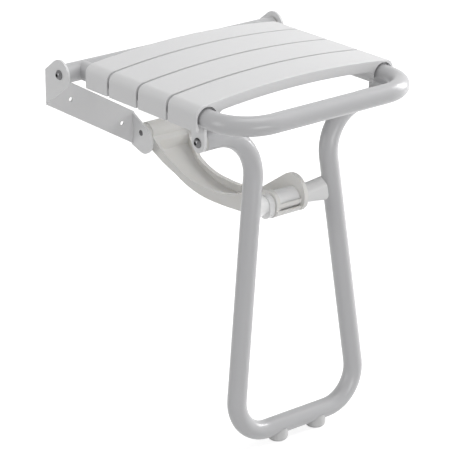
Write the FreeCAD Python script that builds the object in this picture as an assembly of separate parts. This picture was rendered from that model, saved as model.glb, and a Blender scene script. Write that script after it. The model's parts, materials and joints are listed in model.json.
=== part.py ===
import FreeCAD, Part
import math
import os

# Fold-down wall seat with a prop leg. Millimetres, +Z up, front towards -Y.
# The origin is on the wall, midway between the two upper wall screws.
# "Reach" is the distance out from the wall, "rise" the height above the seat hinge axis.

os.makedirs("parts", exist_ok=True)

V = FreeCAD.Vector
X_AXIS = V(1, 0, 0)
Y_AXIS = V(0, 1, 0)
Z_AXIS = V(0, 0, 1)

# Tubes
tube_d = 25.0
tube_wall = 2.0

# Seat hinge and the four pivots of the folding linkage
hinge_reach = 34.0
link_pivot_reach = 21.0
link_pivot_rise = -111.0
leg_pivot_reach = 276.0
leg_pivot_rise = -33.0

# Seat frame
frame_inset = 36.0
front_bar_reach = 352.0
frame_bend_r = 51.0

# Slats, from the wall towards the front
full_slats = ("seat_slat_mid_rear", "seat_slat_mid_front", "seat_slat_front")
first_slat_reach = 58.5
rear_slat_width = 51.0
rear_slat_roll_r = 10.0
rear_slat_wall = 6.0
slat_width = 56.0
slat_gap = 4.1
slat_crown_rise = 27.0
slat_skin = 3.5
slat_end_r = 13.0
slat_end_out = 4.5
slat_end_up = 5.0
slat_skirt_drop = 13.5
slat_hook_angle = 48.0
slat_lip = 14.0
slat_lip_wall = 3.0
slat_lip_corner_r = 12.0
slat_edge_r = 1.2
slat_recess_r = 15.6
slat_recess_depth = 8.0
slat_rib = 2.4
slat_pockets = 6

# Wall brackets, folded from sheet
sheet = 3.0
sheet_bend_r = 3.5
bracket_outer_x = 179.0
bracket_inner_x = 41.0
plate_height = 46.0
plate_outer_rise = -24.5
plate_inner_rise = -109.0
hinge_ear_r = 19.5
link_ear_r = 18.8
link_ear_reach = 25.0
link_ear_rise = -120.0
wall_screw_outer_x = 140.0
wall_screw_inner_x = 58.0
wall_hole_d = 6.0

# Pivot hardware
pivot_d = 8.0
running_fit = 0.05
seat_fit = 0.03
side_play = 0.3
bush_wall = 2.0
bush_flange = 1.3
bush_flange_d = 18.0
plug_flange = 2.0
plug_flange_d = 24.0
plug_chamfer = 0.8
plug_length = 18.0
screw_head_d = 13.0
screw_head_h = 4.2
screw_rim_h = 0.5
screw_shoulder_h = 3.0
screw_shoulder_d = 8.6
screw_tip_chamfer = 0.8
screw_socket_d = 5.0
screw_socket_depth = 2.6
screw_engagement = 22.0

# Leg tabs under the side tubes
tab_thick = 4.0
tab_r = 12.6

# Leg loop
leg_lean = 2.66
leg_top_x = 54.5
leg_bottom_x = 105.0
leg_length = 405.5
leg_top_bend_r = 57.0
leg_bottom_bend_r = 48.0

# Crosspiece between the leg tubes
drum_r = 14.0
drum_half = 16.6
journal_r = 9.0
journal_width = 6.8
collar_width = 8.0
collar_depth = 26.0
collar_height = 32.0
collar_drop = 3.0
arm_root_height = 23.5
arm_root_depth = 22.0
arm_height = 36.0
arm_depth = 21.0
arm_rise = -136.0

# Link
hub_r = 13.0
hub_boss_r = 11.0
link_rear_half = 31.0
link_wall = 6.0
link_floor = 4.0
link_rear_slope = 36.0
link_low_reach = 165.0
link_low_rise = -174.5
rim_hub_angle = -20.0
rim_rear_reach = 67.0
rim_rear_rise = -144.5
rim_low_reach = 126.0
rim_low_rise = -159.5
rim_mid_reach = 165.0
rim_mid_rise = -158.5
rim_front_reach = 199.0
rim_front_rise = -150.5
taper_start_reach = 30.0
taper_end_reach = 70.0
ring_r = 16.5
jaw_wall = 4.0
jaw_angle = -25.0
fin_r = 25.5
fin_back = 2.5
fin_lift = 4.5
fin_end_angle = -50.0
head_clearance = 1.4
journal_clearance = 0.3

# Feet
foot_x = 32.0
foot_d = 26.5
foot_height = 7.5
foot_wrap = 10.0
foot_edge_r = 5.0
stud_d = 7.0
stud_barb = 1.0
stud_fit = 0.1
barb_length = 4.0

# Sizes that follow from the ones above
plate_slope = (plate_outer_rise - plate_inner_rise) / (bracket_outer_x - bracket_inner_x)
hinge_above_screws = -plate_inner_rise - plate_slope * (wall_screw_outer_x - bracket_inner_x)
side_tube_x = bracket_outer_x - frame_inset
tube_r = tube_d / 2
tube_bore_r = tube_r - tube_wall
pivot_r = pivot_d / 2
hinge_ear_inner_x = bracket_outer_x - sheet
link_ear_inner_x = bracket_inner_x - sheet
cross_tube_end_x = hinge_ear_inner_x - bush_flange - side_play - plug_flange
tab_outer_x = side_tube_x + tab_thick
leg_end_x = side_tube_x - bush_flange - side_play - plug_flange
saddle_r = tube_r + seat_fit
slat_end_x = side_tube_x + slat_end_out
head_reach = leg_pivot_reach + link_pivot_reach - hinge_reach
head_rise = leg_pivot_rise + link_pivot_rise
cheek_inner = drum_half + (journal_width - link_wall) / 2
link_half = cheek_inner + link_wall
jaw_r = drum_r + head_clearance + jaw_wall
lean = math.radians(leg_lean)
far = 1000.0


def at(x, reach, rise):
    """A point given by its reach from the wall and its rise above the hinge axis."""
    return V(x, -reach, hinge_above_screws + rise)


def polar(reach, rise, radius, angle):
    """Reach and rise of a point on a circle seen from the side, angle in degrees from straight out."""
    turn = math.radians(angle)
    return reach + radius * math.cos(turn), rise + radius * math.sin(turn)


def rod(x0, x1, reach, rise, radius):
    """A cylinder across the seat from x0 to x1."""
    return Part.makeCylinder(radius, x1 - x0, at(x0, reach, rise), X_AXIS)


def mirrored(shape):
    return shape.mirror(V(0, 0, 0), X_AXIS)


def face_of(edges):
    return Part.Face(Part.Wire(Part.__sortEdges__(edges)))


def straight(a, b):
    return Part.LineSegment(a, b).toShape()


def arc(a, middle, b):
    return Part.Arc(a, middle, b).toShape()


def polygon(points):
    return Part.Face(Part.makePolygon(points + [points[0]]))


def rounded_path(points, radii):
    """Edges of a route through the points, with an arc of the given radius at each inner point."""
    edges = []
    start = points[0]
    for before, corner, after, radius in zip(points, points[1:], points[2:], radii):
        inward = (before - corner).normalize()
        outward = (after - corner).normalize()
        half = inward.getAngle(outward) / 2
        setback = radius / math.tan(half)
        bisector = (inward + outward).normalize()
        middle = corner + bisector * (radius / math.sin(half) - radius)
        arc_start = corner + inward * setback
        arc_end = corner + outward * setback
        edges.append(straight(start, arc_start))
        edges.append(arc(arc_start, middle, arc_end))
        start = arc_end
    edges.append(straight(start, points[-1]))
    return edges


def tube_along(edges, radius):
    """A round bar swept along the route, which starts with a straight run."""
    route = Part.Wire(edges)
    first = edges[0]
    start = first.valueAt(first.FirstParameter)
    heading = first.tangentAt(first.FirstParameter)
    section = Part.Wire(Part.makeCircle(radius, start, heading))
    return route.makePipeShell([section], True, False)


def hollow_tube(edges):
    return tube_along(edges, tube_r).cut(tube_along(edges, tube_bore_r))


def tangent_hull(reach, rise, radius, low, high):
    """Side outline round a circle and the two wall points low and high, as points and an arc."""
    centre = V(0, -reach, hinge_above_screws + rise)
    touch = []
    for point, side in ((low, -1), (high, 1)):
        across = centre - point
        swing = side * math.asin(radius / across.Length)
        heading = V(0, across.y * math.cos(swing) + across.z * math.sin(swing),
                    across.z * math.cos(swing) - across.y * math.sin(swing)).normalize()
        touch.append(point + heading * math.sqrt(across.Length ** 2 - radius ** 2))
    nose = centre + ((touch[0] - centre) + (touch[1] - centre)).normalize() * radius
    if (nose - low).Length < (centre - low).Length:
        nose = centre * 2 - nose
    return face_of([straight(low, touch[0]), arc(touch[0], nose, touch[1]),
                    straight(touch[1], high), straight(high, low)])


def leg_point(x, down):
    """A point in the leg's leaning plane, down from the leg pivot axis."""
    return at(x, leg_pivot_reach + down * math.sin(lean), leg_pivot_rise - down * math.cos(lean))


def leg_route():
    return rounded_path(
        [leg_point(-leg_end_x, 0), leg_point(-leg_top_x, 0), leg_point(-leg_bottom_x, leg_length),
         leg_point(leg_bottom_x, leg_length), leg_point(leg_top_x, 0), leg_point(leg_end_x, 0)],
        [leg_top_bend_r, leg_bottom_bend_r, leg_bottom_bend_r, leg_top_bend_r])


def wall_bracket():
    """Right bracket: a sloping plate on the wall, with an ear folded forward at each end."""
    half = plate_height / 2
    outer_low = at(bracket_outer_x, 0, plate_outer_rise - half)
    outer_high = at(bracket_outer_x, 0, plate_outer_rise + half)
    inner_low = at(link_ear_inner_x, 0, plate_inner_rise - half)
    inner_high = at(link_ear_inner_x, 0, plate_inner_rise + half)
    plate = polygon([outer_low, outer_high, inner_high, inner_low]).extrude(V(0, -sheet, 0))
    hinge_ear = tangent_hull(hinge_reach, 0, hinge_ear_r,
                             at(0, 0, plate_outer_rise - half), at(0, 0, plate_outer_rise + half))
    hinge_ear.translate(V(bracket_outer_x, 0, 0))
    hinge_ear = hinge_ear.extrude(V(-sheet, 0, 0))
    link_ear = tangent_hull(link_ear_reach, link_ear_rise, link_ear_r,
                            at(0, 0, plate_inner_rise - half), at(0, 0, plate_inner_rise + half))
    link_ear.translate(V(link_ear_inner_x, 0, 0))
    link_ear = link_ear.extrude(V(sheet, 0, 0))
    bracket = plate.fuse([hinge_ear, link_ear]).removeSplitter()
    bends = []
    for edge in bracket.Edges:
        box = edge.BoundBox
        on_wall = box.YMax > -0.01 and box.YLength < 0.01 and box.XLength < 0.01
        if on_wall and box.ZLength > plate_height - 0.5:
            bends.append(edge)
    bracket = bracket.makeFillet(sheet_bend_r, bends)
    bracket = bracket.cut(rod(0, far, hinge_reach, 0, pivot_r + bush_wall + seat_fit))
    bracket = bracket.cut(rod(0, bracket_inner_x + 1, link_pivot_reach, link_pivot_rise, pivot_r + seat_fit))
    for x in (wall_screw_outer_x, wall_screw_inner_x):
        centre = at(x, -1, plate_inner_rise + plate_slope * (x - bracket_inner_x))
        bracket = bracket.cut(Part.makeCylinder(wall_hole_d / 2, sheet + 2, centre, -Y_AXIS))
    return bracket


def flanged_bush(x, length, reach, rise):
    """Right bush with its flange inwards, its sleeve running out from x."""
    bush = rod(x, x + length, reach, rise, pivot_r + bush_wall)
    bush = bush.fuse(rod(x - bush_flange, x, reach, rise, bush_flange_d / 2))
    bush = bush.cut(rod(x - bush_flange, x + length, reach, rise, pivot_r + running_fit))
    return bush.removeSplitter()


def end_plug(x, reach, rise):
    """Right plug that fills the end of a tube whose open end is at x."""
    plug = rod(x - plug_length, x, reach, rise, tube_bore_r - seat_fit)
    plug = plug.fuse(rod(x, x + plug_flange, reach, rise, plug_flange_d / 2))
    plug = plug.removeSplitter()
    outer_rim = [e for e in plug.Edges if e.BoundBox.XMin > x + plug_flange - 0.01]
    plug = plug.makeChamfer(plug_chamfer, outer_rim)
    return plug.cut(rod(x - far, x + far, reach, rise, pivot_r + seat_fit))


def button_screw(head_x, reach, rise):
    """Right pivot screw, its domed socket head standing out from head_x."""
    head_r = screw_head_d / 2
    rim = at(head_x + screw_rim_h, reach, rise + head_r)
    crown = at(head_x + screw_head_h, reach, rise)
    outline = [
        arc(crown, at(head_x + screw_shoulder_h, reach, rise + screw_shoulder_d / 2), rim),
        straight(rim, at(head_x, reach, rise + head_r)),
        straight(at(head_x, reach, rise + head_r), at(head_x, reach, rise)),
        straight(at(head_x, reach, rise), crown)]
    head = face_of(outline).revolve(at(head_x, reach, rise), X_AXIS, 360)
    shank = rod(head_x - screw_engagement, head_x, reach, rise, pivot_r)
    tip = [e for e in shank.Edges if e.BoundBox.XMax < head_x - screw_engagement + 0.01]
    shank = shank.makeChamfer(screw_tip_chamfer, tip)
    socket = Part.Face(Part.makePolygon(
        [at(head_x + screw_head_h + 1, *polar(reach, rise, screw_socket_d / 2, 60 * k)) for k in range(7)]))
    return head.fuse(shank).removeSplitter().cut(socket.extrude(V(-screw_socket_depth - 1, 0, 0)))


def link_axle():
    """Plain pin through both link ears, its ends flush with their outer faces."""
    return rod(-bracket_inner_x, bracket_inner_x, link_pivot_reach, link_pivot_rise, pivot_r)


def seat_frame_tube():
    """U-shaped tube, its rear ends coped to sit on the cross tube."""
    route = rounded_path(
        [at(-side_tube_x, hinge_reach, 0), at(-side_tube_x, front_bar_reach, 0),
         at(side_tube_x, front_bar_reach, 0), at(side_tube_x, hinge_reach, 0)],
        [frame_bend_r, frame_bend_r])
    frame = hollow_tube(route)
    return frame.cut(rod(-far, far, hinge_reach, 0, tube_r))


def hinge_cross_tube():
    tube = rod(-cross_tube_end_x, cross_tube_end_x, hinge_reach, 0, tube_r)
    return tube.cut(rod(-cross_tube_end_x, cross_tube_end_x, hinge_reach, 0, tube_bore_r))


def slat_arch():
    """Radius of the arch that is tangent to the rounded slat ends, and the angle where they meet."""
    height = slat_crown_rise - slat_end_up
    radius = (slat_end_x ** 2 + height ** 2 - slat_end_r ** 2) / (2 * (height - slat_end_r))
    return radius, math.asin(slat_end_x / (radius - slat_end_r))


def slat_round(reach, angle):
    """Point on a slat's rounded right end, angle in radians from straight up."""
    return at(slat_end_x + slat_end_r * math.sin(angle), reach, slat_end_up + slat_end_r * math.cos(angle))


def slat_side(reach):
    """Right end of a slat's outer line: the rounded corner and the skirt."""
    meet = slat_arch()[1]
    level = math.pi / 2
    skirt_low = at(slat_end_x + slat_end_r, reach, -slat_skirt_drop)
    return [
        arc(slat_round(reach, meet), slat_round(reach, (meet + level) / 2), slat_round(reach, level)),
        straight(slat_round(reach, level), skirt_low)]


def slat_crown(reach):
    """The arch between the rounded ends."""
    end = slat_round(reach, slat_arch()[1])
    return arc(V(-end.x, end.y, end.z), at(0, reach, slat_crown_rise), end)


def slat_outline(reach):
    """Front view of a slat: crowned top, skirts outside the tubes, hooks inside them."""
    low = slat_crown_rise - slat_lip
    under_r = slat_arch()[0] - slat_lip
    hook = math.radians(slat_hook_angle)
    hook_r = saddle_r + slat_lip_wall
    skirt_x = slat_end_x + slat_end_r
    inner_x = side_tube_x - hook_r
    under_x = inner_x - slat_lip_corner_r
    under_rise = low - under_r + math.sqrt(under_r ** 2 - under_x ** 2)
    corner_low = at(inner_x, reach, under_rise - slat_lip_corner_r)
    corner_mid = at(under_x + slat_lip_corner_r * math.sin(math.pi / 4), reach,
                    under_rise - slat_lip_corner_r * (1 - math.cos(math.pi / 4)))
    half = slat_side(reach) + [
        straight(at(skirt_x, reach, -slat_skirt_drop),
                 at(side_tube_x + saddle_r, reach, -slat_skirt_drop)),
        straight(at(side_tube_x + saddle_r, reach, -slat_skirt_drop), at(side_tube_x + saddle_r, reach, 0)),
        arc(at(side_tube_x + saddle_r, reach, 0), at(side_tube_x, reach, saddle_r),
            at(side_tube_x - saddle_r, reach, 0)),
        arc(at(side_tube_x - saddle_r, reach, 0),
            at(side_tube_x - saddle_r * math.cos(hook / 2), reach, -saddle_r * math.sin(hook / 2)),
            at(side_tube_x - saddle_r * math.cos(hook), reach, -saddle_r * math.sin(hook))),
        straight(at(side_tube_x - saddle_r * math.cos(hook), reach, -saddle_r * math.sin(hook)),
                 at(side_tube_x - hook_r * math.cos(hook), reach, -hook_r * math.sin(hook))),
        arc(at(side_tube_x - hook_r * math.cos(hook), reach, -hook_r * math.sin(hook)),
            at(side_tube_x - hook_r * math.cos(hook / 2), reach, -hook_r * math.sin(hook / 2)),
            at(inner_x, reach, 0)),
        straight(at(inner_x, reach, 0), corner_low),
        arc(corner_low, corner_mid, at(under_x, reach, under_rise))]
    other = mirrored(Part.Compound(half))
    under = arc(at(-under_x, reach, under_rise), at(0, reach, low), at(under_x, reach, under_rise))
    return face_of(half + other.Edges + [slat_crown(reach), under])


def rolled_block(reach, width):
    """Block of a slat's outer shape, with its rear edge rolled down."""
    side = slat_side(reach)
    other = mirrored(Part.Compound(side))
    low = at(slat_end_x + slat_end_r, reach, -slat_skirt_drop)
    section = face_of(side + other.Edges + [slat_crown(reach), straight(low, V(-low.x, low.y, low.z))])
    block = section.extrude(V(0, -width, 0))
    rear = [e for e in block.Edges if e.BoundBox.YMin > low.y - 0.01 and e.BoundBox.ZMax > low.z + 0.01]
    return block.makeFillet(rear_slat_roll_r, rear)


def slat_pocket(start, end, x0, x1):
    """Space under the skin between two ribs, open below."""
    arch_r = slat_arch()[0]
    skin_r = arch_r - slat_skin
    drop = slat_crown_rise - arch_r

    def under_skin(x):
        return drop + math.sqrt(skin_r ** 2 - x ** 2)

    floor = -tube_r
    middle = (x0 + x1) / 2
    section = face_of([
        straight(at(x0, start, floor), at(x1, start, floor)),
        straight(at(x1, start, floor), at(x1, start, under_skin(x1))),
        arc(at(x1, start, under_skin(x1)), at(middle, start, under_skin(middle)),
            at(x0, start, under_skin(x0))),
        straight(at(x0, start, under_skin(x0)), at(x0, start, floor))])
    return section.extrude(V(0, start - end, 0))


def seat_slat(reach, width, rear_wall):
    """Moulded slat whose rear edge is at the given reach, ribbed below."""
    slat = slat_outline(reach).extrude(V(0, -width, 0))
    crown = hinge_above_screws + slat_crown_rise
    top_edges = []
    for edge in slat.Edges:
        middle = edge.valueAt((edge.FirstParameter + edge.LastParameter) / 2)
        flat_across = edge.BoundBox.YLength < 0.01
        outer_x = abs(middle.x) > slat_end_x
        arch_edge = edge.BoundBox.XLength > side_tube_x and middle.z > crown - 1
        skirt_or_round = outer_x and edge.BoundBox.ZLength > 1
        if flat_across and (arch_edge or skirt_or_round):
            top_edges.append(edge)
    slat = slat.makeFillet(slat_edge_r, top_edges)
    for x in (-side_tube_x, side_tube_x):
        recess_start = at(x, reach + width - slat_recess_depth, 0)
        slat = slat.cut(Part.makeCylinder(slat_recess_r, slat_recess_depth, recess_start, -Y_AXIS))
    first_x = -(side_tube_x - saddle_r - 2 * slat_lip_wall)
    pitch = -2 * first_x / slat_pockets
    start = reach + rear_wall
    end = reach + width - slat_lip_wall
    for k in range(slat_pockets):
        x0 = first_x + k * pitch + slat_rib / 2
        slat = slat.cut(slat_pocket(start, end, x0, x0 + pitch - slat_rib))
    return slat


def rear_slat():
    """The slat next to the wall, narrower than the others."""
    slat = seat_slat(first_slat_reach, rear_slat_width, rear_slat_wall)
    return slat.common(rolled_block(first_slat_reach, rear_slat_width))


def leg_tab():
    """Right tab, welded under the side tube, with the leg pivot's hole."""
    low = tab_r
    outline = face_of([
        straight(at(side_tube_x, leg_pivot_reach + low, leg_pivot_rise),
                 at(side_tube_x, leg_pivot_reach + low, 0)),
        straight(at(side_tube_x, leg_pivot_reach + low, 0), at(side_tube_x, leg_pivot_reach - low, 0)),
        straight(at(side_tube_x, leg_pivot_reach - low, 0),
                 at(side_tube_x, leg_pivot_reach - low, leg_pivot_rise)),
        arc(at(side_tube_x, leg_pivot_reach - low, leg_pivot_rise),
            at(side_tube_x, leg_pivot_reach, leg_pivot_rise - low),
            at(side_tube_x, leg_pivot_reach + low, leg_pivot_rise))])
    tab = outline.extrude(V(tab_thick, 0, 0))
    side_tube = Part.makeCylinder(tube_r, far, at(side_tube_x, 0, 0), -Y_AXIS)
    tab = tab.cut(side_tube)
    return tab.cut(rod(0, far, leg_pivot_reach, leg_pivot_rise, pivot_r + bush_wall + seat_fit))


def leg_tube():
    """One bent tube: flared pivot ends, spreading sides and a straight bar at the bottom."""
    tube = hollow_tube(leg_route())
    for x in (-foot_x, foot_x):
        bar = leg_point(x, leg_length)
        hole = Part.makeCylinder(stud_d / 2 + stud_fit, tube_r + 2, bar, -Z_AXIS)
        tube = tube.cut(hole)
    return tube


def stadium(x, reach, rise, depth, height):
    """Upright oval, seen from the side, as a wire."""
    r = depth / 2
    flat = height / 2 - r
    points = [at(x, reach - r, rise - flat), at(x, reach - r, rise + flat),
              at(x, reach + r, rise + flat), at(x, reach + r, rise - flat)]
    return Part.Wire([straight(points[0], points[1]),
                      arc(points[1], at(x, reach, rise + flat + r), points[2]),
                      straight(points[2], points[3]),
                      arc(points[3], at(x, reach, rise - flat - r), points[0])])


def leg_crosspiece():
    """Bar between the leg tubes: a drum, a groove and a collar each side, and an arm to each leg."""
    groove_end = drum_half + journal_width
    collar_end = groove_end + collar_width
    down = (leg_pivot_rise - arm_rise) / math.cos(lean)
    reach_at_leg = leg_pivot_reach + down * math.sin(lean)
    leg_x = leg_top_x + (leg_bottom_x - leg_top_x) * down / leg_length
    piece = rod(-groove_end, groove_end, head_reach, head_rise, journal_r)
    piece = piece.fuse(rod(-drum_half, drum_half, head_reach, head_rise, drum_r))
    collar = Part.Face(stadium(groove_end, head_reach, head_rise - collar_drop, collar_depth, collar_height))
    collar = collar.extrude(V(collar_width, 0, 0))
    arm = Part.makeLoft([stadium(collar_end, head_reach, head_rise, arm_root_depth, arm_root_height),
                         stadium(leg_x, reach_at_leg, arm_rise, arm_depth, arm_height)], True, True)
    side = collar.fuse(arm)
    piece = piece.fuse([side, mirrored(side)]).removeSplitter()
    return piece.cut(tube_along(leg_route(), tube_r + seat_fit))


def foot(x):
    """Push-in foot under the bottom bar, hollowed to sit round it, with a barbed stud into the tube."""
    bar = leg_point(x, leg_length)
    base = bar.z - tube_r - foot_height
    body = Part.makeCylinder(foot_d / 2, foot_height + foot_wrap, V(x, bar.y, base), Z_AXIS)
    rim = [e for e in body.Edges if e.BoundBox.ZMax < base + 0.01]
    body = body.makeFillet(foot_edge_r, rim)
    body = body.cut(rod(-far, far, -bar.y, bar.z - hinge_above_screws, tube_r + seat_fit))
    stud_r = stud_d / 2
    barb_r = stud_r + stud_barb
    barb_base = bar.z - math.sqrt(tube_bore_r ** 2 - barb_r ** 2) + stud_fit
    stud_base = base + foot_height / 2
    stud = Part.makeCylinder(stud_r, barb_base - stud_base, V(x, bar.y, stud_base), Z_AXIS)
    barb = Part.makeCone(barb_r, stud_r - stud_barb, barb_length, V(x, bar.y, barb_base), Z_AXIS)
    return body.fuse([stud, barb]).removeSplitter()


def link_side_outline():
    """Side view of the link: hub at the wall, sagging arm, and the ring and jaw round the drum."""
    slope = math.radians(link_rear_slope)
    hub_low = polar(link_pivot_reach, link_pivot_rise, hub_r, -90 - link_rear_slope)
    bend_reach = hub_low[0] + (hub_low[1] - link_low_rise) / math.tan(slope)
    setback = min(link_low_reach - bend_reach, (bend_reach - hub_low[0]) * math.cos(slope))
    bend_start = (bend_reach - setback * math.cos(slope), link_low_rise + setback * math.sin(slope))
    bend_end = (bend_reach + setback, link_low_rise)
    bend_r = setback / math.tan(slope / 2)
    bend_mid = polar(bend_end[0], bend_end[1] + bend_r, bend_r, -90 - link_rear_slope / 2)
    jaw_low = (head_reach, head_rise - jaw_r)
    climb = (jaw_low[1] - link_low_rise) / (head_reach - bend_end[0])
    front_mid = ((bend_end[0] + head_reach) / 2, link_low_rise + climb * (head_reach - bend_end[0]) / 4)
    jaw_mid = polar(head_reach, head_rise, jaw_r, (jaw_angle - 90) / 2)
    jaw_tip = polar(head_reach, head_rise, jaw_r, jaw_angle)
    ring_start = polar(head_reach, head_rise, ring_r, jaw_angle)
    touch = tangent_angle(head_reach, head_rise, ring_r)
    ring_mid = polar(head_reach, head_rise, ring_r, (jaw_angle + touch) / 2)
    ring_end = polar(head_reach, head_rise, ring_r, touch)
    hub_front = polar(link_pivot_reach, link_pivot_rise, hub_r, rim_hub_angle)
    hub_back = polar(link_pivot_reach, link_pivot_rise, hub_r, (rim_hub_angle + 270 - link_rear_slope) / 2)
    rim_front = (rim_front_reach, rim_front_rise)
    rim_low = (rim_low_reach, rim_low_rise)

    def side(point):
        return at(0, *point)

    return face_of([
        straight(side(hub_low), side(bend_start)),
        arc(side(bend_start), side(bend_mid), side(bend_end)),
        arc(side(bend_end), side(front_mid), side(jaw_low)),
        arc(side(jaw_low), side(jaw_mid), side(jaw_tip)),
        straight(side(jaw_tip), side(ring_start)),
        arc(side(ring_start), side(ring_mid), side(ring_end)),
        straight(side(ring_end), side(rim_front)),
        arc(side(rim_front), at(0, rim_mid_reach, rim_mid_rise), side(rim_low)),
        arc(side(rim_low), at(0, rim_rear_reach, rim_rear_rise), side(hub_front)),
        arc(side(hub_front), side(hub_back), side(hub_low))])


def tangent_angle(reach, rise, radius):
    """Angle on a circle where the line from the front of the rim touches its upper side."""
    ahead = reach - rim_front_reach
    above = rise - rim_front_rise
    climb = math.atan2(above, ahead) + math.asin(radius / math.hypot(ahead, above))
    return math.degrees(climb) + 90


def link_fin():
    """The far wall's tall end, which rises from the rim and curls down over the crosspiece."""
    reach = head_reach - fin_back
    rise = head_rise + fin_lift
    touch = tangent_angle(reach, rise, fin_r)
    rim_front = at(cheek_inner, rim_front_reach, rim_front_rise)
    start = at(cheek_inner, *polar(reach, rise, fin_r, touch))
    middle = at(cheek_inner, *polar(reach, rise, fin_r, (touch + fin_end_angle) / 2))
    end = at(cheek_inner, *polar(reach, rise, fin_r, fin_end_angle))
    centre = at(cheek_inner, head_reach, head_rise)
    outline = face_of([straight(rim_front, start), arc(start, middle, end),
                       straight(end, centre), straight(centre, rim_front)])
    return outline.extrude(V(link_wall, 0, 0))


def link_plan(inset, reach0, reach1):
    """Plan of the link, wide at the hub and narrow towards the leg, as a tall block."""
    rear = link_rear_half - inset
    front = link_half - inset
    start = max(taper_start_reach, reach0 + 0.5)
    points = [at(-rear, reach0, -far), at(-rear, start, -far), at(-front, taper_end_reach, -far),
              at(-front, reach1, -far), at(front, reach1, -far), at(front, taper_end_reach, -far),
              at(rear, start, -far), at(rear, reach0, -far)]
    return polygon(points).extrude(V(0, 0, 2 * far))


def link_arm():
    """Moulded link: a trough from a bored hub to two rings and a jaw round the crosspiece."""
    outline = link_side_outline()
    outline.translate(V(-link_rear_half, 0, 0))
    body = outline.extrude(V(2 * link_rear_half, 0, 0))
    front = head_reach + jaw_r + 1
    body = body.common(link_plan(0, link_pivot_reach - hub_r - 1, front))
    trough = outline.copy()
    trough.translate(V(0, 0, link_floor))
    trough = trough.extrude(V(2 * link_rear_half, 0, 0))
    trough = trough.common(link_plan(link_wall, link_pivot_reach + hub_r + link_floor, front))
    body = body.cut(trough)
    body = body.fuse(link_fin())
    body = body.cut(rod(-cheek_inner, cheek_inner, head_reach, head_rise, drum_r + head_clearance))
    body = body.cut(rod(-far, far, head_reach, head_rise, journal_r + journal_clearance))
    boss_end = link_ear_inner_x - side_play
    body = body.fuse(rod(-boss_end, boss_end, link_pivot_reach, link_pivot_rise, hub_boss_r))
    body = body.cut(rod(-far, far, link_pivot_reach, link_pivot_rise, pivot_r + running_fit))
    return body.removeSplitter()


def save(node, shape):
    solids = shape.Solids
    if len(solids) != 1 or not shape.isValid():
        print("check", node, len(solids), "solids, valid:", shape.isValid())
    solids[0].exportStep("parts/" + node + ".step")


def save_pair(name, right):
    save(name + "_right", right)
    save(name + "_left", mirrored(right))


save_pair("wall_bracket", wall_bracket())
save_pair("seat_hinge_bush", flanged_bush(hinge_ear_inner_x, sheet, hinge_reach, 0))
save("link_axle", link_axle())

save("seat_frame_tube", seat_frame_tube())
save("hinge_cross_tube", hinge_cross_tube())
save_pair("cross_tube_plug", end_plug(cross_tube_end_x, hinge_reach, 0))
save_pair("seat_hinge_screw", button_screw(bracket_outer_x + side_play, hinge_reach, 0))
save("seat_slat_rear", rear_slat())
for index, slat_node in enumerate(full_slats):
    slat_reach = first_slat_reach + rear_slat_width + slat_gap + index * (slat_width + slat_gap)
    save(slat_node, seat_slat(slat_reach, slat_width, slat_lip_wall))
save_pair("leg_tab", leg_tab())
save_pair("leg_pivot_bush", flanged_bush(side_tube_x, tab_thick, leg_pivot_reach, leg_pivot_rise))

save("leg_tube", leg_tube())
save("leg_crosspiece", leg_crosspiece())
save_pair("leg_pivot_plug", end_plug(leg_end_x, leg_pivot_reach, leg_pivot_rise))
save_pair("leg_pivot_screw", button_screw(tab_outer_x + side_play, leg_pivot_reach, leg_pivot_rise))
save("foot_left", foot(-foot_x))
save("foot_right", foot(foot_x))

save("link_arm", link_arm())
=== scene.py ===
import json
import math

import bmesh
import bpy
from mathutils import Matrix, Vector


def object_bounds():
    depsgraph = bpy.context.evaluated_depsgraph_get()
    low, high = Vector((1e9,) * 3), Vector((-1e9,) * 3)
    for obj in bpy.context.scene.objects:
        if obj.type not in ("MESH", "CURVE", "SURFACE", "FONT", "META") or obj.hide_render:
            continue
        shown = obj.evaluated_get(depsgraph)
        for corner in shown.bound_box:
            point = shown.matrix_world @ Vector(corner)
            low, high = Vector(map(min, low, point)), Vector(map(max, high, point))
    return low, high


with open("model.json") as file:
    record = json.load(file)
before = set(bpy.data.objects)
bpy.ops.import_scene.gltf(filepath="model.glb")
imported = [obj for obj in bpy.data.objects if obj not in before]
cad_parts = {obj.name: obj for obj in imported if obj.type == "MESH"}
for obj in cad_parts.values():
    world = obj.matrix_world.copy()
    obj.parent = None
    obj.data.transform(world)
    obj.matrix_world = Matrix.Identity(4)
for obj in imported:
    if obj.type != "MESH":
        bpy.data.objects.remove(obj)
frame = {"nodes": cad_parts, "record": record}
cad_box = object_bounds()

nodes = frame["nodes"]
TUBES = ("seat_frame_tube", "leg_tube", "hinge_cross_tube")

# Camera, fitted to the photograph: pixels, degrees and metres, with the sensor in millimetres
IMAGE_SIZE = 452
FOCAL_PIXELS = 2377.5
CAMERA_AZIMUTH = -39.1
CAMERA_ELEVATION = 21.18
CAMERA_DISTANCE = 3.0476
CAMERA_TARGET = Vector((-0.0413, -0.200, -0.1409))
SENSOR = 36.0
VIEW_DEPTH = 100.0

# Finishes
PAINT_WHITE = (0.78, 0.78, 0.785)
# Painted shade: the tubes wear the plates' white paint, their colour darkened to stand in for shade
TUBE_WHITE_PAINTED_SHADE = (0.53, 0.53, 0.54)
# Painted light: the crosspiece's white paint lightened to stand in for light falling on it
CROSSPIECE_WHITE_PAINTED_LIGHT = (0.87, 0.87, 0.87)
SLAT_WHITE = (0.78, 0.78, 0.785)
LINK_WHITE = (0.82, 0.81, 0.785)
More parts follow.
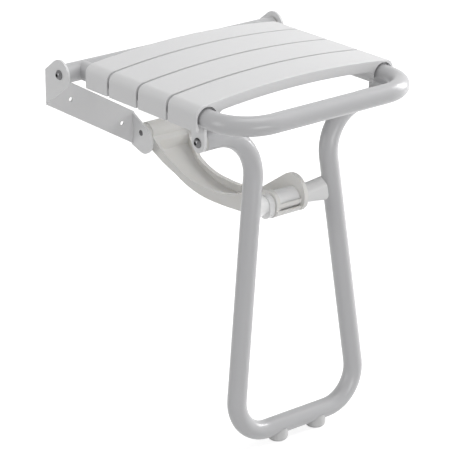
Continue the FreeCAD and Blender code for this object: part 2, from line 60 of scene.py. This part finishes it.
# Painted reflection: the stainless screws' colour darkened to stand in for the dark surroundings they reflect
STAINLESS_PAINTED_DARK_REFLECTION = (0.17, 0.17, 0.175)
NYLON_PALE = (0.72, 0.715, 0.69)
NYLON_DEEP = (0.68, 0.675, 0.65)
RUBBER_PALE = (0.68, 0.68, 0.68)
RUBBER_DEEP = (0.62, 0.62, 0.62)
COAT_WEIGHT = 0.20
COAT_ROUGHNESS = 0.22

# Between these two a noise has most of its values
NOISE_LOW = 0.3
NOISE_HIGH = 0.7

# Studio: light of the world, paleness of the floor for light and for the camera, its size, the lamps' aim
WORLD_LEVEL = 0.33
FLOOR_GREY = 0.60
FLOOR_GLOW = 0.76
FLOOR_HALF_SIZE = 40.0
FLOOR_ROUGHNESS = 0.9
LAMP_TARGET = (0, -0.2, -0.1)


def view_direction(azimuth, elevation):
    """Unit vector from the object towards a camera at that azimuth and elevation."""
    a, e = math.radians(azimuth), math.radians(elevation)
    return Vector((math.sin(a) * math.cos(e), -math.cos(a) * math.cos(e), math.sin(e)))


def aim(thing, place, target):
    """Put a camera or lamp at a place, looking at the target, with its top upwards."""
    thing.location = place
    thing.rotation_euler = (Vector(target) - Vector(place)).to_track_quat("-Z", "Y").to_euler()


def new_material(name):
    """A material, its node tree and its shader."""
    material = bpy.data.materials.new(name)
    material.use_nodes = True
    tree = material.node_tree
    return material, tree, tree.nodes["Principled BSDF"]


def noise(tree, scale, detail=3.0, roughness=0.5):
    """Noise fixed to the piece, its scale in cells per metre."""
    coordinates = tree.nodes.new("ShaderNodeTexCoord")
    texture = tree.nodes.new("ShaderNodeTexNoise")
    texture.inputs["Scale"].default_value = scale
    texture.inputs["Detail"].default_value = detail
    texture.inputs["Roughness"].default_value = roughness
    tree.links.new(coordinates.outputs["Object"], texture.inputs["Vector"])
    return texture.outputs["Fac"]


def remap(tree, value, low, high):
    """Map the middle of a noise onto low to high."""
    node = tree.nodes.new("ShaderNodeMapRange")
    node.inputs["From Min"].default_value = NOISE_LOW
    node.inputs["From Max"].default_value = NOISE_HIGH
    node.inputs["To Min"].default_value = low
    node.inputs["To Max"].default_value = high
    tree.links.new(value, node.inputs["Value"])
    return node.outputs["Result"]


def tint(tree, value, first, second):
    """Colour that drifts between two close tones."""
    ramp = tree.nodes.new("ShaderNodeValToRGB")
    ramp.color_ramp.elements[0].position = NOISE_LOW
    ramp.color_ramp.elements[0].color = (*first, 1)
    ramp.color_ramp.elements[1].position = NOISE_HIGH
    ramp.color_ramp.elements[1].color = (*second, 1)
    tree.links.new(value, ramp.inputs["Fac"])
    return ramp.outputs["Color"]


def shade(colour, share):
    """The colour darkened to that share."""
    return tuple(c * share for c in colour)


def bump(tree, height, strength, distance):
    """Normal of a surface raised by the height, by at most the distance in metres."""
    node = tree.nodes.new("ShaderNodeBump")
    node.inputs["Strength"].default_value = strength
    node.inputs["Distance"].default_value = distance
    tree.links.new(height, node.inputs["Height"])
    return node.outputs["Normal"]


def powder_coat(name, colour, low, high):
    """Baked powder coat with a faint ripple, its roughness between low and high."""
    material, tree, shader = new_material(name)
    tree.links.new(tint(tree, noise(tree, 9.0), colour, shade(colour, 0.985)), shader.inputs["Base Color"])
    tree.links.new(remap(tree, noise(tree, 25.0), low, high), shader.inputs["Roughness"])
    tree.links.new(bump(tree, noise(tree, 700.0, 2.0), 0.08, 0.0003), shader.inputs["Normal"])
    shader.inputs["Coat Weight"].default_value = COAT_WEIGHT
    shader.inputs["Coat Roughness"].default_value = COAT_ROUGHNESS
    return material


def slat_plastic():
    """Moulded white slats: matt, finely spark-textured."""
    material, tree, shader = new_material("slat_plastic")
    tree.links.new(tint(tree, noise(tree, 6.0), SLAT_WHITE, shade(SLAT_WHITE, 0.97)),
                   shader.inputs["Base Color"])
    tree.links.new(remap(tree, noise(tree, 90.0), 0.50, 0.60), shader.inputs["Roughness"])
    tree.links.new(bump(tree, noise(tree, 1500.0, 2.0), 0.18, 0.0003), shader.inputs["Normal"])
    return material


def link_plastic():
    """Moulded link: slightly warmer and glossier than the slats, with faint flow marks."""
    material, tree, shader = new_material("link_plastic")
    tree.links.new(tint(tree, noise(tree, 14.0), LINK_WHITE, shade(LINK_WHITE, 0.94)),
                   shader.inputs["Base Color"])
    tree.links.new(remap(tree, noise(tree, 45.0), 0.36, 0.50), shader.inputs["Roughness"])
    tree.links.new(bump(tree, noise(tree, 180.0, 4.0), 0.12, 0.0006), shader.inputs["Normal"])
    shader.inputs["Subsurface Weight"].default_value = 0.05
    shader.inputs["Subsurface Radius"].default_value = (0.004, 0.003, 0.002)
    return material


def nylon():
    """Pale nylon of the bushes and plugs."""
    material, tree, shader = new_material("nylon")
    tree.links.new(tint(tree, noise(tree, 120.0), NYLON_PALE, NYLON_DEEP), shader.inputs["Base Color"])
    tree.links.new(remap(tree, noise(tree, 300.0), 0.40, 0.52), shader.inputs["Roughness"])
    return material


def stainless_with_painted_reflection():
    """Stainless pivot screws and pin with fine turning marks, their colour darkened as a painted dark
    reflection.
    """
    material, tree, shader = new_material("stainless_with_painted_reflection")
    # Base colour darkened as a painted reflection; the drift between the two tones is turning marks
    tree.links.new(tint(tree, noise(tree, 400.0), STAINLESS_PAINTED_DARK_REFLECTION, shade(STAINLESS_PAINTED_DARK_REFLECTION, 0.8)),
                   shader.inputs["Base Color"])
    tree.links.new(remap(tree, noise(tree, 900.0), 0.20, 0.32), shader.inputs["Roughness"])
    shader.inputs["Metallic"].default_value = 1.0
    return material


def foot_rubber():
    """Pale grey moulded rubber."""
    material, tree, shader = new_material("foot_rubber")
    tree.links.new(tint(tree, noise(tree, 60.0), RUBBER_PALE, RUBBER_DEEP), shader.inputs["Base Color"])
    tree.links.new(remap(tree, noise(tree, 500.0), 0.45, 0.60), shader.inputs["Roughness"])
    tree.links.new(bump(tree, noise(tree, 900.0, 2.0), 0.15, 0.0003), shader.inputs["Normal"])
    return material


def finish_nodes():
    """Give every node its record's finish, but the tubes a satin coat darkened as painted shade and the
    crosspiece a coat lightened as painted light.
    """
    plates = powder_coat("white_powder_coat", PAINT_WHITE, 0.35, 0.37)
    # Painted shade: the tubes get the plates' paint in a darker tone
    tubes = powder_coat("satin_tube_coat_painted_shade", TUBE_WHITE_PAINTED_SHADE, 0.28, 0.29)
    # Painted light: the crosspiece gets the plates' paint in a lighter tone
    crosspiece = powder_coat("crosspiece_coat_painted_light", CROSSPIECE_WHITE_PAINTED_LIGHT, 0.35, 0.37)
    finishes = {"white_paint": plates, "slat_plastic": slat_plastic(), "link_plastic": link_plastic(),
                "nylon": nylon(), "stainless": stainless_with_painted_reflection(), "foot_rubber": foot_rubber()}
    slot_of = {part["node"]: part["material_slot"] for part in frame["record"]["subparts"]}
    for name, node in nodes.items():
        finish = finishes[slot_of[name]]
        if name in TUBES:
            finish = tubes
        if name == "leg_crosspiece":
            finish = crosspiece
        for slot in node.material_slots:
            slot.material = finish


def seen_directly(tree):
    """1 for what the camera sees, also in a mirror or through glass, and 0 for light that falls on things."""
    path = tree.nodes.new("ShaderNodeLightPath")
    total = path.outputs["Is Camera Ray"]
    for kind in ("Is Glossy Ray", "Is Transmission Ray"):
        join = tree.nodes.new("ShaderNodeMath")
        join.operation = "MAXIMUM"
        tree.links.new(total, join.inputs[0])
        tree.links.new(path.outputs[kind], join.inputs[1])
        total = join.outputs[0]
    return total


def studio_floor():
    """Wide floor at the feet, which looks white and keeps the shadow."""
    mesh = bmesh.new()
    bmesh.ops.create_grid(mesh, x_segments=1, y_segments=1, size=FLOOR_HALF_SIZE)
    bmesh.ops.translate(mesh, verts=mesh.verts, vec=(0, 0, cad_box[0][2]))
    data = bpy.data.meshes.new("floor")
    mesh.to_mesh(data)
    mesh.free()
    floor = bpy.data.objects.new("floor", data)
    bpy.context.scene.collection.objects.link(floor)
    material, tree, shader = new_material("studio_floor")
    shader.inputs["Base Color"].default_value = (FLOOR_GREY, FLOOR_GREY, FLOOR_GREY, 1)
    shader.inputs["Roughness"].default_value = FLOOR_ROUGHNESS
    shader.inputs["Specular IOR Level"].default_value = 0.0
    glow = tree.nodes.new("ShaderNodeEmission")
    strength = tree.nodes.new("ShaderNodeMath")
    strength.operation = "MULTIPLY"
    strength.inputs[1].default_value = FLOOR_GLOW
    add = tree.nodes.new("ShaderNodeAddShader")
    tree.links.new(seen_directly(tree), strength.inputs[0])
    tree.links.new(strength.outputs[0], glow.inputs["Strength"])
    tree.links.new(shader.outputs[0], add.inputs[0])
    tree.links.new(glow.outputs[0], add.inputs[1])
    tree.links.new(add.outputs[0], tree.nodes["Material Output"].inputs["Surface"])
    data.materials.append(material)


def studio_world():
    """Dim even light all round, white where it is seen."""
    world = bpy.data.worlds.new("studio")
    bpy.context.scene.world = world
    world.use_nodes = True
    tree = world.node_tree
    soft = tree.nodes["Background"]
    soft.inputs["Color"].default_value = (1, 1, 1, 1)
    soft.inputs["Strength"].default_value = WORLD_LEVEL
    white = tree.nodes.new("ShaderNodeBackground")
    white.inputs["Color"].default_value = (1, 1, 1, 1)
    white.inputs["Strength"].default_value = 1.0
    mix = tree.nodes.new("ShaderNodeMixShader")
    tree.links.new(seen_directly(tree), mix.inputs["Fac"])
    tree.links.new(soft.outputs[0], mix.inputs[1])
    tree.links.new(white.outputs[0], mix.inputs[2])
    tree.links.new(mix.outputs[0], tree.nodes["World Output"].inputs["Surface"])


def lamp(name, place, size, power):
    """Rectangular lamp aimed at the object: place and size in metres, power in watts."""
    light = bpy.data.lights.new(name, "AREA")
    light.shape = "RECTANGLE"
    light.size, light.size_y = size
    light.energy = power
    holder = bpy.data.objects.new(name, light)
    bpy.context.scene.collection.objects.link(holder)
    aim(holder, place, LAMP_TARGET)


def lamps():
    """Soft lamps above, right, in front and left; the right one is the strongest."""
    lamp("top_lamp", (0.2, -0.5, 2.3), (1.8, 1.8), 20)
    lamp("right_lamp", (2.4, -0.6, 0.9), (1.0, 1.8), 50)
    lamp("front_lamp", (-0.3, -2.8, 0.05), (1.6, 0.7), 15)
    lamp("left_lamp", (-2.4, 0.3, 0.5), (0.8, 1.4), 11)


def camera():
    """Camera at the photograph's place, with its focal length."""
    lens = bpy.data.cameras.new("camera")
    lens.sensor_width = SENSOR
    lens.lens = FOCAL_PIXELS / IMAGE_SIZE * SENSOR
    lens.clip_end = VIEW_DEPTH
    holder = bpy.data.objects.new("camera", lens)
    bpy.context.scene.collection.objects.link(holder)
    back = view_direction(CAMERA_AZIMUTH, CAMERA_ELEVATION)
    aim(holder, CAMERA_TARGET + back * CAMERA_DISTANCE, CAMERA_TARGET)
    bpy.context.scene.camera = holder


finish_nodes()
studio_floor()
studio_world()
lamps()
camera()
bpy.context.scene.view_settings.view_transform = "Standard"
